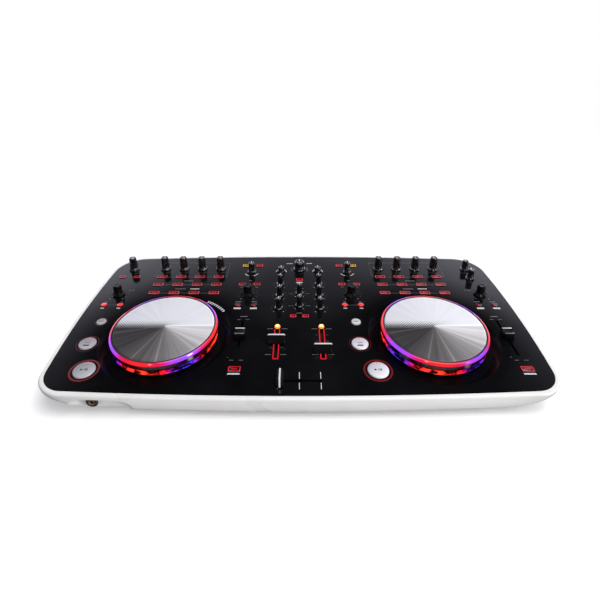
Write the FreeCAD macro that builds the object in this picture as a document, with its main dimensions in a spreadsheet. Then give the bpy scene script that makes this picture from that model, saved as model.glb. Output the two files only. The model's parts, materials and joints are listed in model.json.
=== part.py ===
import FreeCAD, Part
import math
import os
import re

import Sketcher
from FreeCAD import Placement, Rotation, Vector

# Two-deck DJ controller, in millimetres.
# Pieces are drawn flat, as on a drawing of the control panel: X to the right, Y from the panel's front
# edge to its rear, Z up from the panel's face. One tilt then stands the whole controller on its feet.

SIZES = {
    # hull and panel
    "case_width": 622.6, "case_depth": 313.6, "case_height": 27, "case_wall": 2.5, "rim_width": 5.5,
    "front_bow": 9, "rear_bow": 9.5, "side_bow": 8.7, "front_corner": 32, "rear_corner": 42,
    "keel_side_inset": 26, "keel_front_inset": 7, "keel_rear_inset": 10, "keel_corner": 56,
    "rim_round": 2.4,
    "panel_thickness": 3, "panel_gap": 0.2, "ledge_width": 5, "tilt_angle": 11.5, "floor_gap": 4,
    # circuit board and fixings
    "board_depth": 13.4, "board_thickness": 1.6, "board_margin": 18, "board_corner": 62,
    "boss_radius": 4, "screw_radius": 1.5, "screw_gap": 0.05, "screw_head_radius": 2.9,
    "screw_head_height": 1.4, "screw_grip": 6, "screw_near": 46, "screw_far": 62, "screw_side": 70,
    "screw_front_row": 19, "screw_middle_row": 182, "screw_from_rear": 17,
    # where the decks and rows stand; the rows at the rear are measured from the rear edge
    "deck_from_side": 136.3, "column_pitch": 30.2, "column_gap": 13.2, "pair_half": 11.6,
    "jog_row": 98.5, "play_row": 38.3, "play_shift": 16, "cue_row": 84.2, "sync_row": 127.6, "round_row": 166,
    "encoder_row": 192, "shift_row": 39.8, "tempo_row": 97, "fx_from_rear": 39.1, "pad_from_rear": 62.9,
    "pad_row_pitch": 22, "side_knob_from_rear": 40.6, "lower_knob_from_rear": 67.7,
    "inner_knob_from_rear": 48.1, "high_key_from_rear": 28.9, "low_key_from_rear": 84.3,
    "mixer_column": 29.7, "trim_from_rear": 46.6, "eq_high_from_rear": 83.4, "eq_pitch": 30.4,
    "browse_from_rear": 39.6, "centre_knob_from_rear": 108.6, "centre_knob_pitch": 30,
    "centre_key_from_rear": 71.6, "phones_key_row": 140, "phones_key_half": 8.8,
    # jog wheels
    "jog_radius": 68, "jog_height": 17, "jog_rim": 4.4, "jog_disc_thickness": 1.5,
    "jog_ring_width": 8, "jog_web": 3, "jog_web_level": 8, "jog_hub_wall": 5, "jog_skirt_depth": 3.5,
    "jog_lip": 0.6, "well_gap": 16, "well_slope": 9, "well_depth": 7, "well_wall": 2.5,
    "spindle_radius": 8, "spindle_flange": 9, "spindle_flange_height": 2, "spindle_rise": 1.5,
    "bearing_wall": 3, "bearing_height": 6, "run_gap": 0.05,
    # knobs: top radius, waist radius, collar radius, height and collar height
    "fx_top": 5.6, "fx_waist": 6.2, "fx_collar": 8.3, "fx_height": 23, "fx_collar_height": 7,
    "slim_top": 3.6, "slim_waist": 4.4, "slim_collar": 5.8, "slim_height": 18, "slim_collar_height": 3.5,
    "side_top": 4.6, "side_waist": 5, "side_collar": 7.2, "side_height": 18, "side_collar_height": 6,
    "trim_top": 4.6, "trim_waist": 5, "trim_collar": 6.4, "trim_height": 9, "trim_collar_height": 2,
    "browse_top": 7.8, "browse_waist": 8.2, "browse_collar": 9.4, "browse_height": 15,
    "browse_collar_height": 3,
    "dial_top": 5.8, "dial_waist": 6.2, "dial_collar": 9.8, "dial_height": 17, "dial_collar_height": 8,
    "knob_gap": 0.6, "stem_radius": 3, "stem_end": 1.4, "stem_hole_gap": 0.6,
    "pot_width": 10.5, "pot_height": 6.6,
    # keys and buttons
    "pad_length": 15.6, "pad_width": 7.6, "small_pad": 9.6, "key_length": 10.4, "key_width": 7,
    "phones_key_length": 9, "phones_key_width": 6.4, "round_key_radius": 4.3, "shift_length": 15,
    "shift_width": 8.6, "play_radius": 12.9, "cue_radius": 10.9, "sync_radius": 6.5, "key_rise": 1.2,
    "key_gap": 0.4, "key_travel": 0.8, "switch_gap": 0.3, "switch_size": 6, "switch_height": 3.6,
    # faders
    "slot_gap": 0.5, "channel_travel": 45, "channel_front": 62, "channel_rest_left": 26,
    "channel_rest_right": 9, "tempo_travel": 60, "tempo_rest": 0, "cross_travel": 45, "cross_row": 22.2,
    "lever_width": 2, "lever_length": 5, "lever_gap": 0.5, "channel_cap_width": 22.5,
    "channel_cap_length": 12, "channel_cap_height": 12, "tempo_cap_width": 13.6, "tempo_cap_length": 14,
    "tempo_cap_height": 11, "cross_cap_width": 9, "cross_cap_length": 23, "cross_cap_height": 12,
    "cap_gap": 1, "guide_width": 9, "guide_gap": 0.15, "guide_rise": 0.3, "lamp_radius": 3.9,
    "lamp_rise": 2.2, "lamp_gap": 1, "slide_pot_width": 9, "slide_pot_height": 5,
    "slide_pot_end": 9,
    # sockets
    "scoop_left": 250, "scoop_right": 203, "scoop_radius": 14, "scoop_level": 20, "scoop_centre": 2,
    "scoop_wall": 2.5, "phones_place": 236, "phones_level": 15.5, "jack_bore": 3.2, "jack_radius": 5.2,
    "jack_length": 20, "nut_radius": 6.8, "nut_length": 1.6, "socket_plate_start": -46,
    "socket_plate_length": 92, "socket_plate_level": 5,
    "socket_plate_depth": 16, "socket_level": 19.5, "socket_inset": 0.5,
    "line_radius": 4.15, "line_length": 9,
    "line_pitch": 16, "line_place": 62.6, "usb_place": 11, "microphone_place": 38.6,
    "usb_width": 8.6, "usb_height": 7.8, "usb_depth": 10,
    # legs and feet
    "leg_place": 238, "leg_width": 38, "leg_depth": 52, "leg_from_rear": 22, "leg_round": 8,
    "foot_radius": 9, "foot_height": 3, "front_foot_place": 190, "front_foot_row": 34,
    "foot_inset": 11,
}

doc = FreeCAD.newDocument("Controller")
sheet = doc.addObject("Spreadsheet::Sheet", "Sizes")
for row, (name, value) in enumerate(SIZES.items(), start=1):
    sheet.set(f"A{row}", name)
    sheet.set(f"B{row}", str(value))
    sheet.setAlias(f"B{row}", name)
doc.recompute()

NODES = []
CUTTERS = []
POTS = []
POT_BORES = []
SWITCHES = []
SLIDE_POTS = []


def signed_terms(text):
    """Signs and names in a sum of named sizes."""
    return re.findall(r"([+-]?)\s*([a-z_]+)", text)


def size(text):
    """Value of a sum of named sizes, such as 'key_gap + key_rise'."""
    return sum((-1 if sign == "-" else 1) * float(sheet.get(name)) for sign, name in signed_terms(text))


def bind(item, prop, text):
    """Tie a property to the sheet."""
    item.setExpression(prop, "".join(f"{sign or '+'}Sizes.{name}" for sign, name in signed_terms(text)))


def place(x, y, z=0.0):
    return Placement(Vector(x, y, z), Rotation())


def box(length, width, height, x, y, z):
    """Box centred on x and y, standing on z; its three sizes are sums of named sizes."""
    item = doc.addObject("Part::Box", "Block")
    for prop, text in (("Length", length), ("Width", width), ("Height", height)):
        bind(item, prop, text)
    item.Placement = place(x - size(length) / 2, y - size(width) / 2, z)
    return item


def rod(radius, height, x, y, z):
    """Upright cylinder standing on z."""
    item = doc.addObject("Part::Cylinder", "Rod")
    bind(item, "Radius", radius)
    bind(item, "Height", height)
    item.Placement = place(x, y, z)
    return item


def combine(kind, label, items):
    item = doc.addObject(kind, label)
    if kind == "Part::Compound":
        item.Links = items
    else:
        item.Shapes = items
    return item


def cut(label, base, tool):
    item = doc.addObject("Part::Cut", label)
    item.Base = base
    item.Tool = tool
    return item


def solid_feature(label, shape):
    item = doc.addObject("Part::Feature", label)
    item.Shape = shape
    return item


def node(item, label, x=0.0, y=0.0):
    """A finished sub-part, whose own origin stands at x, y on the panel."""
    item.Label = label
    NODES.append((item, place(x, y)))


def turned(label, outline):
    """Body turned about its own Z axis from a closed outline of (radius, height) corners."""
    body = doc.addObject("PartDesign::Body", label)
    sketch = body.newObject("Sketcher::SketchObject", label + "_outline")
    plane = [item for item in body.Origin.OriginFeatures if item.Role == "XZ_Plane"][0]
    sketch.AttachmentSupport = [(plane, "")]
    sketch.MapMode = "FlatFace"
    corners = [Vector(size(radius), size(height), 0) for radius, height in outline]
    for index, corner in enumerate(corners):
        sketch.addGeometry(Part.LineSegment(corner, corners[(index + 1) % len(corners)]), False)
    for index, (radius, height) in enumerate(outline):
        sketch.addConstraint(Sketcher.Constraint("Coincident", index, 2, (index + 1) % len(outline), 1))
        if radius:
            hold(sketch, "DistanceX", index, radius)
        else:
            sketch.addConstraint(Sketcher.Constraint("PointOnObject", index, 1, -2))
        hold(sketch, "DistanceY", index, height)
    turn = body.newObject("PartDesign::Revolution", label + "_turned")
    turn.Profile = sketch
    turn.ReferenceAxis = (sketch, ["V_Axis"])
    turn.Angle = 360
    return body


def hold(sketch, kind, index, text):
    """Hold the start of a line at a named distance from the sketch's origin."""
    if not text:
        sketch.addConstraint(Sketcher.Constraint("PointOnObject", index, 1, -1))
        return
    number = sketch.addConstraint(Sketcher.Constraint(kind, -1, 1, index, 1, size(text)))
    bind(sketch, f"Constraints[{number}]", text)


# ---- hull outline ---------------------------------------------------------------------------------

def bow_radius(span, bow):
    return (span * span + bow * bow) / (2 * bow)


def corner_centre(first, first_radius, second, second_radius, reach):
    """Crossing of two circles that lies farthest along the direction reach."""
    apart = second - first
    gap = apart.Length
    along = (first_radius ** 2 - second_radius ** 2 + gap ** 2) / (2 * gap)
    across = math.sqrt(first_radius ** 2 - along ** 2)
    ahead = apart / gap
    aside = Vector(-ahead.y, ahead.x, 0)
    choices = [first + ahead * along + aside * side for side in (across, -across)]
    return max(choices, key=lambda point: point.dot(reach))


def outline(level, inset, front_corner, rear_corner, side_inset=None, rear_inset=None):
    """Closed wire of four bowed sides and four round corners, inset from the case's outer edge."""
    side_inset = inset if side_inset is None else side_inset
    rear_inset = inset if rear_inset is None else rear_inset
    half = size("case_width") / 2 - side_inset
    front = -size("rim_width") + inset
    rear = size("case_depth") - size("rim_width") - rear_inset
    middle = (front + rear) / 2
    radii = [bow_radius(half, size("front_bow")), bow_radius((rear - front) / 2, size("side_bow")),
             bow_radius(half, size("rear_bow")), bow_radius((rear - front) / 2, size("side_bow"))]
    tips = [Vector(0, front, 0), Vector(half, middle, 0), Vector(0, rear, 0), Vector(-half, middle, 0)]
    inward = [Vector(0, 1, 0), Vector(-1, 0, 0), Vector(0, -1, 0), Vector(1, 0, 0)]
    centres = [tip + way * radius for tip, way, radius in zip(tips, inward, radii)]
    rounds = [front_corner, rear_corner, rear_corner, front_corner]
    reaches = [Vector(1, -1, 0), Vector(1, 1, 0), Vector(-1, 1, 0), Vector(-1, -1, 0)]
    arcs = []
    for side in range(4):
        after = (side + 1) % 4
        turn = rounds[side]
        centre = corner_centre(centres[side], radii[side] - turn, centres[after], radii[after] - turn,
                               reaches[side])
        leave = (centre - centres[side]).normalize()
        join = (centre - centres[after]).normalize()
        middle_way = (leave + join).normalize()
        arcs.append([centre + leave * turn, centre + middle_way * turn, centre + join * turn])
    edges = []
    for side in range(4):
        before = arcs[side - 1]
        edges.append(Part.Arc(before[2], tips[side], arcs[side][0]).toShape())
        edges.append(Part.Arc(*arcs[side]).toShape())
    wire = Part.Wire(edges)
    wire.translate(Vector(0, 0, level))
    return wire


def prism(wire, height):
    return Part.Face(wire).extrude(Vector(0, 0, height))


def upright(radius, height, x, y, z):
    return Part.makeCylinder(radius, height, Vector(x, y, z))


def loop_edges(shape, level):
    """Edges of the outer loop that lie flat at one level."""
    flat = [edge for edge in shape.Edges
            if abs(edge.BoundBox.ZMin - level) < 0.01 and abs(edge.BoundBox.ZMax - level) < 0.01]
    return flat


# ---- named places ---------------------------------------------------------------------------------

RIM = size("rim_width")
PANEL_REAR = size("case_depth") - 2 * RIM
DECKS = {"left": -(size("case_width") / 2 - size("deck_from_side")),
         "right": size("case_width") / 2 - size("deck_from_side")}
BOARD_TOP = -size("board_depth")
BOARD_BOTTOM = BOARD_TOP - size("board_thickness")
KEEL = -size("case_height")
# share of the case's height, and how far the sides have drawn in there as a share of the keel's inset
HULL_CURVE = ((0, 0), (0.33, 0.07), (0.67, 0.37), (0.89, 0.7), (1, 1))
FLOOR = KEEL + size("case_wall")
WELL = "jog_radius + well_gap"
BEARING = "spindle_radius + bearing_wall"
SPINDLE_TOP = "jog_web_level + jog_web + spindle_rise"
SLOT = "lever_width + slot_gap + slot_gap"
SIDE = size(f"{WELL} + column_gap")
PAIR = size("pair_half")


def from_rear(text):
    return PANEL_REAR - size(text)


SCREW_PLACES = [(0, size("channel_front") + size("channel_travel") / 2)]
for deck in DECKS.values():
    SCREW_PLACES.append((deck - size("screw_near"), size("screw_front_row")))
    SCREW_PLACES.append((deck + size("screw_far"), size("screw_front_row")))
    for way in (-1, 1):
        SCREW_PLACES.append((deck + way * size("screw_side"), size("screw_middle_row")))
        SCREW_PLACES.append((deck + way * size("screw_side"), from_rear("screw_from_rear")))


# ---- fixed pieces ---------------------------------------------------------------------------------

def scoop_shape(extra):
    """Round-ended trough in the front face, for the fingers that plug in the headphones."""
    radius = size("scoop_radius") + extra
    left, right = -size("scoop_left"), -size("scoop_right")
    low, back = -size("scoop_level"), -size("scoop_centre")
    trough = Part.makeCylinder(radius, right - left, Vector(left, back, low), Vector(1, 0, 0))
    ends = [Part.makeSphere(radius, Vector(x, back, low)) for x in (left, right)]
    return trough.multiFuse(ends).removeSplitter()


def hull_section(down, share, wall):
    """Outline of the hull at a share of its height, drawn in by a share of the keel's insets."""
    front_round = size("front_corner") + RIM
    rear_round = size("rear_corner") + RIM
    keel = size("keel_corner")
    return outline(-size("case_height") * down, size("keel_front_inset") * share + wall,
                   front_round + (keel - front_round) * share - wall,
                   rear_round + (keel - rear_round) * share - wall,
                   size("keel_side_inset") * share + wall, size("keel_rear_inset") * share + wall)


def bottom_case():
    front_round = size("front_corner") + RIM
    rear_round = size("rear_corner") + RIM
    sections = [hull_section(down, share, 0) for down, share in HULL_CURVE]
    shell = Part.makeLoft(sections, True, False)
    shell = shell.makeFillet(size("rim_round"), loop_edges(shell, 0))
    solid_shell = shell
    ledge = RIM + size("ledge_width")
    hollow_top = outline(-size("panel_thickness"), ledge, front_round - ledge, rear_round - ledge)
    room = size("case_wall") / size("case_height")
    lower = [hull_section(down - room, share, size("case_wall")) for down, share in HULL_CURVE[2:]]
    hollow = Part.makeLoft([hollow_top] + lower, True, True)
    seat_inset = RIM - size("panel_gap")
    seat = prism(outline(-size("panel_thickness"), seat_inset, front_round - seat_inset,
                         rear_round - seat_inset), 2 * size("panel_thickness"))
    shell = shell.cut(hollow.fuse(seat))
    inner_round = scoop_shape(size("scoop_wall")).common(solid_shell)
    shell = shell.fuse(inner_round)
    bosses = [upright(size("boss_radius"), BOARD_BOTTOM - FLOOR + 0.5, x, y, FLOOR - 0.5)
              for x, y in SCREW_PLACES]
    shell = shell.multiFuse(bosses)
    holes = [scoop_shape(0)]
    holes.append(Part.makeCylinder(size("jack_radius") + size("run_gap"), size("scoop_radius") * 3,
                                   Vector(-size("phones_place"), 0, -size("phones_level")),
                                   Vector(0, 1, 0)))
    for x, y in SCREW_PLACES:
        holes.append(upright(size("screw_radius") + size("screw_gap"), size("case_height"), x, y, KEEL - 1))
        holes.append(upright(size("screw_head_radius") + size("screw_gap"),
                             1 + size("screw_head_height"), x, y, KEEL - 1))
    holes.append(socket_window())
    return shell.cut(holes)


def socket_rows():
    """Rear face and front face of the socket block."""
    face = PANEL_REAR + RIM - size("keel_rear_inset") - size("socket_inset")
    return face, face - size("socket_plate_depth")


def socket_window():
    """Notch for the socket block, through the rear wall and the floor below it."""
    face, back = socket_rows()
    corner = Vector(size("socket_plate_start"), back - size("panel_gap"), KEEL - 1)
    return Part.makeBox(size("socket_plate_length"), 3 * size("socket_plate_depth"),
                        size("case_height") + 1 - size("socket_plate_level"), corner)


def top_panel_blank():
    """Panel plate with its two jog wells and its screw posts."""
    inset = RIM
    plate = prism(outline(-size("panel_thickness"), inset, size("front_corner"), size("rear_corner")),
                  size("panel_thickness"))
    posts = [upright(size("boss_radius"), -size("panel_thickness") - BOARD_TOP, x, y, BOARD_TOP)
             for x, y in SCREW_PLACES]
    well_bottom = -size("well_depth") - size("well_wall")
    rim_radius, floor_radius = size(WELL), size(f"{WELL} - well_slope")
    wells = []
    openings = []
    for deck in DECKS.values():
        spots = [(0, -size("well_depth")), (floor_radius, -size("well_depth")), (rim_radius, 0),
                 (rim_radius + size("well_wall"), 0),
                 (rim_radius + size("well_wall"), -size("panel_thickness")),
                 (floor_radius + size("well_wall"), well_bottom), (0, well_bottom)]
        corners = [Vector(radius, 0, height) for radius, height in spots]
        face = Part.Face(Part.makePolygon(corners + corners[:1]))
        well = face.revolve(Vector(0, 0, 0), Vector(0, 0, 1), 360)
        well.translate(Vector(deck, size("jog_row"), 0))
        wells.append(well)
        openings.append(upright(rim_radius + size("well_wall") / 2, size("case_height") * 2,
                                deck, size("jog_row"), -size("case_height")))
    plate = plate.cut(openings).multiFuse(wells + posts)
    pilots = [upright(size("screw_radius") + size("screw_gap"), size("screw_grip"), x, y, BOARD_TOP)
              for x, y in SCREW_PLACES]
    return plate.cut(pilots)


def main_board_shape():
    edge = size("board_margin")
    corner = size("board_corner")
    board = prism(outline(BOARD_BOTTOM, edge, corner, corner), size("board_thickness"))
    holes = [upright(size("screw_radius") + size("screw_gap"), size("case_height"), x, y, KEEL)
             for x, y in SCREW_PLACES]
    holes.append(scoop_shape(size("scoop_wall") + 1))
    holes.append(Part.makeBox(2 * size("jack_radius") + 4, size("jack_length") + size("scoop_radius"),
                              size("case_height"),
                              Vector(-size("phones_place") - size("jack_radius") - 2, 0, KEEL)))
    window = socket_window()
    bounds = window.BoundBox
    holes.append(Part.makeBox(bounds.XLength + 2, bounds.YLength + 2, bounds.ZLength + 2,
                              Vector(bounds.XMin - 1, bounds.YMin - 1, bounds.ZMin - 1)))
    return board.cut(holes)


def screws():
    """Screws that hold case, board and panel together, driven from below."""
    items = []
    for x, y in SCREW_PLACES:
        head_top = KEEL + size("screw_head_height")
        shank = BOARD_TOP + size("screw_grip") - 1 - head_top
        head = upright(size("screw_head_radius"), size("screw_head_height"), x, y, KEEL)
        items.append(head.fuse(upright(size("screw_radius"), shank, x, y, head_top)))
    return Part.makeCompound(items)


def phones_jack_shape():
    """Headphone socket: a barrel behind the scoop, with its nut and a straight bore."""
    x, z = -size("phones_place"), -size("phones_level")
    drop = size("scoop_level") - size("phones_level")
    seat = -size("scoop_centre") + math.sqrt(size("scoop_radius") ** 2 - (drop + size("nut_radius")) ** 2)
    ahead = Vector(0, 1, 0)
    barrel = Part.makeCylinder(size("jack_radius"), size("jack_length"), Vector(x, seat, z), ahead)
    nut = Part.makeCylinder(size("nut_radius"), size("nut_length"),
                            Vector(x, seat - size("nut_length"), z), ahead)
    bore = Part.makeCylinder(size("jack_bore"), size("jack_length") + size("nut_length") - 2,
                             Vector(x, seat - size("nut_length"), z), ahead)
    return barrel.fuse(nut).cut(bore).removeSplitter()


def rear_sockets_shape():
    """Block in the rear wall with a square data socket, a microphone bore and two line-out barrels."""
    start, gap = size("socket_plate_start"), size("panel_gap")
    face, back = socket_rows()
    height = size("case_height") - size("socket_plate_level") - gap
    plate = Part.makeBox(size("socket_plate_length") - 2 * gap, face - back, height,
                         Vector(start + gap, back, KEEL))
    middle = -size("socket_level")
    usb = Part.makeBox(size("usb_width"), size("usb_depth"), size("usb_height"),
                       Vector(start + size("usb_place"), face - size("usb_depth"),
                              middle - size("usb_height") / 2))
    ahead = Vector(0, 1, 0)
    microphone = Part.makeCylinder(size("jack_bore"), size("socket_plate_depth") - 2,
                                   Vector(start + size("microphone_place"), back + 2, middle), ahead)
    plate = plate.cut([usb, microphone])
    barrels = []
    for index in range(2):
        x = start + size("line_place") + index * size("line_pitch")
        barrel = Part.makeCylinder(size("line_radius"), size("line_length"), Vector(x, face, middle), ahead)
        bore = Part.makeCylinder(size("line_radius") * 0.4, size("line_length"), Vector(x, face, middle),
                                 ahead)
        barrels.append(barrel.cut(bore))
    return plate.multiFuse(barrels)


def jog_spindles_shape():
    items = []
    for deck in DECKS.values():
        base = -size("well_depth")
        flange = upright(size("spindle_radius + spindle_flange"), size("spindle_flange_height"), deck,
                         size("jog_row"), base)
        post = upright(size("spindle_radius"), size(SPINDLE_TOP) - base, deck, size("jog_row"), base)
        items.append(flange.fuse(post).removeSplitter())
    return Part.makeCompound(items)


def jog_bearings_shape():
    items = []
    top = size(SPINDLE_TOP) - 1
    for deck in DECKS.values():
        for level in (top - size("bearing_height"), -size("well_depth") + size("spindle_flange_height")):
            outer = upright(size(BEARING), size("bearing_height"), deck, size("jog_row"), level)
            items.append(outer.cut(upright(size("spindle_radius"), size("bearing_height"), deck,
                                           size("jog_row"), level)))
    return Part.makeCompound(items)


# ---- controls -------------------------------------------------------------------------------------

def opening(item):
    CUTTERS.append(item)


def add_pot(x, y):
    """Pot or encoder on the board, with the bore that its stem turns in."""
    POTS.append(box("pot_width", "pot_width", "pot_height", x, y, BOARD_TOP))
    bore = rod("stem_radius + run_gap", "pot_height", x, y, BOARD_TOP + size("board_thickness") / 2)
    POT_BORES.append(bore)
    opening(rod("stem_radius + stem_hole_gap", "panel_thickness + panel_thickness + well_depth", x, y,
                -size("panel_thickness") - size("well_depth")))


def add_knob(label, family, x, y):
    """Knob of one family with its stem; its origin is on the panel's face."""
    top, waist, collar = f"{family}_top", f"{family}_waist", f"{family}_collar"
    corners = [("", f"{family}_height"), (top, f"{family}_height"), (waist, f"{family}_collar_height"),
               (collar, "knob_gap + knob_gap"), (collar, "knob_gap"), ("stem_radius", "knob_gap"),
               ("stem_radius", "stem_end - board_depth"), ("", "stem_end - board_depth")]
    node(turned(label, corners), label, x, y)
    add_pot(x, y)


def key_parts(shape, x, y):
    """A key cap, its hole in the panel and its switch; shape is (length, width) or (radius,)."""
    drop = size("board_depth") - size("switch_height") - size("key_travel") - size("switch_gap")
    SWITCHES.append(box("switch_size", "switch_size", "switch_height", x, y, BOARD_TOP))
    rise = "key_rise + board_depth - switch_height - key_travel - switch_gap"
    hole_deep = "panel_thickness + panel_thickness + well_depth + well_wall"
    hole_low = -size("panel_thickness + well_depth + well_wall")
    if len(shape) == 2:
        cap = box(shape[0], shape[1], rise, x, y, -drop)
        opening(box(shape[0] + " + key_gap + key_gap", shape[1] + " + key_gap + key_gap", hole_deep,
                    x, y, hole_low))
    else:
        cap = rod(shape[0], rise, x, y, -drop)
        opening(rod(shape[0] + " + key_gap", hole_deep, x, y, hole_low))
    return cap


def add_keys(label, keys):
    """Keys that share one node: a list of (shape, x, y)."""
    caps = [key_parts(shape, x, y) for shape, x, y in keys]
    node(combine("Part::Compound", label, caps) if len(caps) > 1 else caps[0], label)


def add_button(label, radius, x, y):
    cap = key_parts((radius,), 0, 0)
    SWITCHES[-1].Placement = SWITCHES[-1].Placement.multiply(place(x, y))
    CUTTERS[-1].Placement = CUTTERS[-1].Placement.multiply(place(x, y))
    node(wrapped(label, cap), label, x, y)


def wrapped(label, item):
    """One piece whose own origin stays at its centre line when the node is placed."""
    return combine("Part::Compound", label, [item])


def add_fader(label, family, x, y, travel, along_x, start, guided=False):
    """Fader cap with its lever, its slot and its slide pot; start is the rest from the low end."""
    lever = ["lever_length", "lever_width"] if along_x else ["lever_width", "lever_length"]
    cap = box(f"{family}_cap_width", f"{family}_cap_length", f"{family}_cap_height", 0, 0, size("cap_gap"))
    stem = box(lever[0], lever[1], "cap_gap + cap_gap + board_depth - slide_pot_height - lever_gap", 0, 0,
               -size("board_depth") + size("slide_pot_height") + size("lever_gap"))
    node(combine("Part::MultiFuse", label, [cap, stem]), label, x + (start if along_x else 0),
         y + (0 if along_x else start))
    slot_long = f"{travel} + lever_length + {SLOT}"
    pot_long = f"{travel} + slide_pot_end + slide_pot_end"
    middle = size(travel) / 2
    if along_x:
        sizes, pot, spot = (slot_long, SLOT), (pot_long, "slide_pot_width"), (x + middle, y)
    else:
        sizes, pot, spot = (SLOT, slot_long), ("slide_pot_width", pot_long), (x, y + middle)
    SLIDE_POTS.append(box(pot[0], pot[1], "slide_pot_height", *spot, BOARD_TOP))
    deep = "panel_thickness + panel_thickness"
    if guided:
        sizes = ("guide_width + guide_gap + guide_gap", f"{slot_long} + {SLOT} + guide_gap + guide_gap")
    opening(box(sizes[0], sizes[1], deep, *spot, -size("panel_thickness") * 1.5))


def add_light_guide(x, y):
    """Flat light guide round a channel fader's slot, and the lamp at its rear end."""
    middle = y + size("channel_travel") / 2
    slot_long = f"channel_travel + lever_length + {SLOT}"
    blank = box("guide_width", f"{slot_long} + {SLOT}", "panel_thickness + guide_rise", x, middle,
                -size("panel_thickness"))
    slot = box(SLOT, slot_long, "panel_thickness + panel_thickness", x, middle,
               -size("panel_thickness") * 1.5)
    guide = cut("Guide", blank, slot)
    lamp_y = middle + (size(slot_long) + size(SLOT)) / 2 + size("lamp_radius + lamp_gap")
    lamp = rod("lamp_radius", "panel_thickness + lamp_rise", x, lamp_y, -size("panel_thickness"))
    opening(rod("lamp_radius + guide_gap", "panel_thickness + panel_thickness", x, lamp_y,
                -size("panel_thickness") * 1.5))
    return [guide, lamp]


def add_jog(label, deck):
    """Jog wheel: lit ring and skirt, web and hub, with the aluminium disc in its rim."""
    ring, disc_radius = "jog_radius - jog_ring_width", "jog_radius - jog_rim"
    bore, hub = f"{BEARING} + run_gap", f"{BEARING} + jog_hub_wall"
    seat, lip, low = "jog_height - jog_disc_thickness", "jog_height - jog_lip", "-jog_skirt_depth"
    web_top = "jog_web_level + jog_web"
    corners = [(bore, low), (hub, low), (hub, "jog_web_level"), (ring, "jog_web_level"), (ring, low),
               ("jog_radius", low), ("jog_radius", lip), (f"{disc_radius} + run_gap", lip),
               (f"{disc_radius} + run_gap", seat), (ring, seat), (ring, web_top), (bore, web_top)]
    node(turned(f"{label}_jog_wheel", corners), f"{label}_jog_wheel", deck, size("jog_row"))
    disc = rod(disc_radius, "jog_disc_thickness", 0, 0, size(seat))
    node(wrapped(f"{label}_jog_disc", disc), f"{label}_jog_disc", deck, size("jog_row"))


PAD = ("pad_length", "pad_width")
SMALL_PAD = ("small_pad", "key_width")
KEY = ("key_length", "key_width")
PHONES_KEY = ("phones_key_length", "phones_key_width")
ROUND_KEY = ("round_key_radius",)
SHIFT_KEY = ("shift_length", "shift_width")


def add_deck(side, deck):
    outer, inner = deck - SIDE, deck + SIDE
    add_jog(side, deck)
    for index in range(4):
        x = deck + (index - 1.5) * size("column_pitch")
        add_knob(f"{side}_effect_knob_{index + 1}", "fx", x, from_rear("fx_from_rear"))
    pads = [(PAD, deck + (column - 1.5) * size("column_pitch"),
             from_rear("pad_from_rear") - row * size("pad_row_pitch"))
            for row in range(3) for column in range(4)]
    rounds = [(ROUND_KEY, centre + way * PAIR, size("round_row")) for centre in (outer, inner)
              for way in (-1, 1)]
    levelled = inner if side == "left" else outer
    sides = [(KEY, levelled + way * PAIR, from_rear(f"{level}_key_from_rear")) for level in ("high", "low")
             for way in (-1, 1)]
    shift = [(SHIFT_KEY, inner, size("shift_row"))]
    small = [(SMALL_PAD, outer + way * PAIR, from_rear("pad_from_rear")) for way in (-1, 1)]
    add_keys(f"{side}_deck_keys", pads + rounds + sides + shift + (small if side == "left" else []))
    add_button(f"{side}_sync_button", "sync_radius", outer, size("sync_row"))
    add_button(f"{side}_cue_button", "cue_radius", outer, size("cue_row"))
    add_button(f"{side}_play_button", "play_radius", outer + size("play_shift"), size("play_row"))
    add_knob(f"{side}_outer_encoder", "dial", outer if side == "left" else inner, size("encoder_row"))
    add_knob(f"{side}_inner_encoder", "dial", levelled, size("encoder_row"))
    add_knob(f"{side}_inner_knob", "side", levelled, from_rear("inner_knob_from_rear"))
    add_fader(f"{side}_tempo_fader", "tempo", inner, size("tempo_row") - size("tempo_travel") / 2,
              "tempo_travel", False, size("tempo_travel") / 2)


def add_mixer():
    guides = []
    for side, way in (("left", -1), ("right", 1)):
        x = way * size("mixer_column")
        add_knob(f"{side}_trim_knob", "trim", x, from_rear("trim_from_rear"))
        for index, band in enumerate(("high", "middle", "low")):
            y = from_rear("eq_high_from_rear") - index * size("eq_pitch")
            add_knob(f"{side}_{band}_knob", "slim", x, y)
        add_fader(f"{side}_channel_fader", "channel", x, size("channel_front"), "channel_travel", False,
                  size(f"channel_rest_{side}"), guided=True)
        guides += add_light_guide(x, size("channel_front"))
    node(combine("Part::Compound", "fader_light_guides", guides), "fader_light_guides")
    add_fader("crossfader", "cross", -size("cross_travel") / 2, size("cross_row"), "cross_travel", True, 0)
    add_knob("browse_knob", "browse", 0, from_rear("browse_from_rear"))
    for index, name in enumerate(("balance_knob", "level_knob")):
        y = from_rear("centre_knob_from_rear") - index * size("centre_knob_pitch")
        add_knob(name, "slim", 0, y)
    keys = [(KEY, 0, from_rear("centre_key_from_rear"))]
    keys += [(PHONES_KEY, way * size("phones_key_half"), size("phones_key_row")) for way in (-1, 1)]
    add_keys("mixer_keys", keys)


add_deck("left", DECKS["left"])
add_deck("right", DECKS["right"])
add_knob("left_side_knob", "fx", DECKS["left"] - SIDE, from_rear("side_knob_from_rear"))
add_knob("right_upper_side_knob", "side", DECKS["right"] + SIDE, from_rear("side_knob_from_rear"))
add_knob("right_lower_side_knob", "side", DECKS["right"] + SIDE, from_rear("lower_knob_from_rear"))
add_mixer()

# ---- fixed sub-parts ------------------------------------------------------------------------------

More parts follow.
